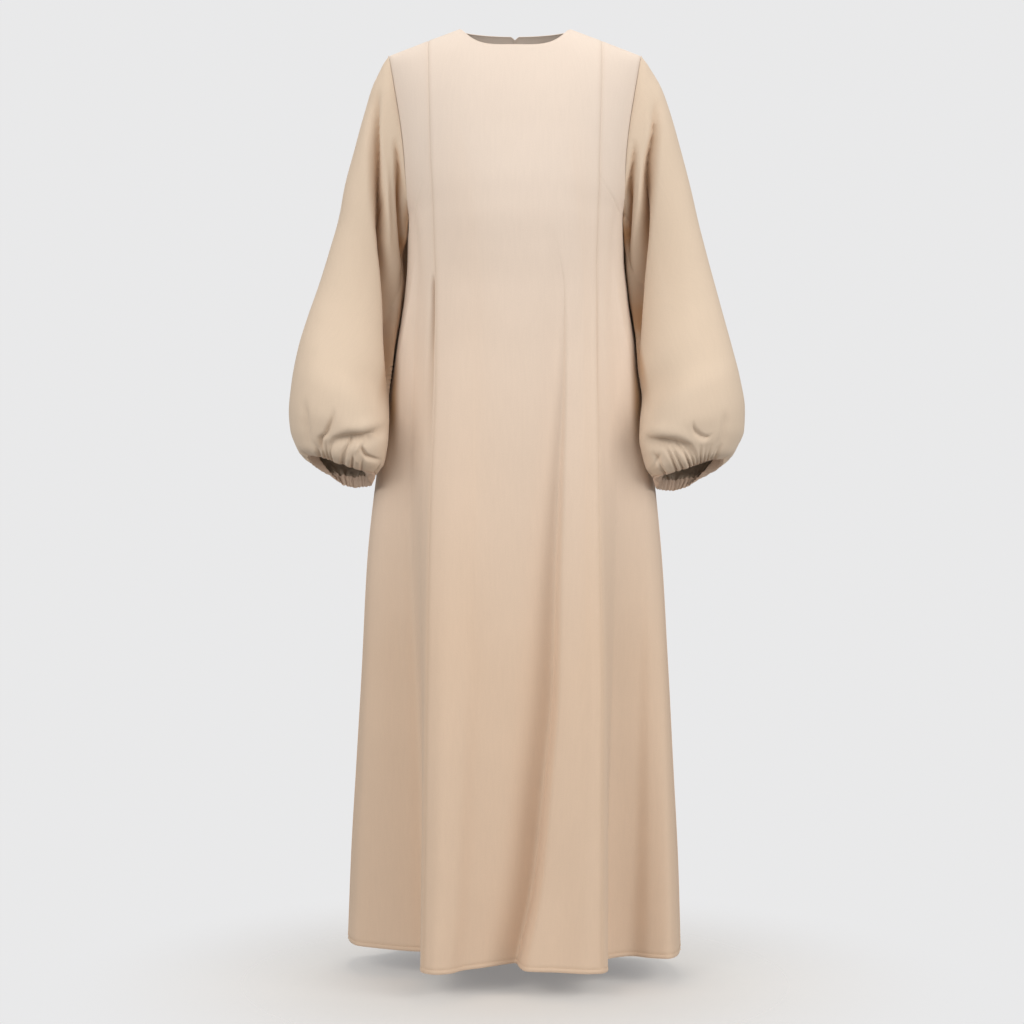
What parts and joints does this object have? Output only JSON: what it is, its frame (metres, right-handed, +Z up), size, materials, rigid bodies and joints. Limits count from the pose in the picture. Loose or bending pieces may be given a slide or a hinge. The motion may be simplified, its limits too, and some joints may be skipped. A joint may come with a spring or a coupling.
{
  "type": "abaya",
  "caption": "Full-length plain crepe abaya in its worn, hollow form: round neck, princess seams, flared skirt and long balloon sleeves gathered into narrow elastic cuffs.",
  "frame": {"origin": "where the wearer holds it up: midway between the two high shoulder points beside the neck", "axes": "+Z up, the garment's front faces -Y, +X to the right as seen from the front"},
  "size_m": [0.6759, 0.382, 1.3843],
  "materials": {
    "crepe": "plain beige crepe with a fine pebbled weave and a soft, nearly matt sheen"
  },
  "bodies": {
    "root": {"front_centre": "crepe", "front_side_left": "crepe", "front_side_right": "crepe", "back_left": "crepe", "back_right": "crepe", "back_neck_strip": "crepe", "sleeve_left": "crepe", "sleeve_right": "crepe", "cuff_left": "crepe", "cuff_right": "crepe"}
  },
  "joints": []
}
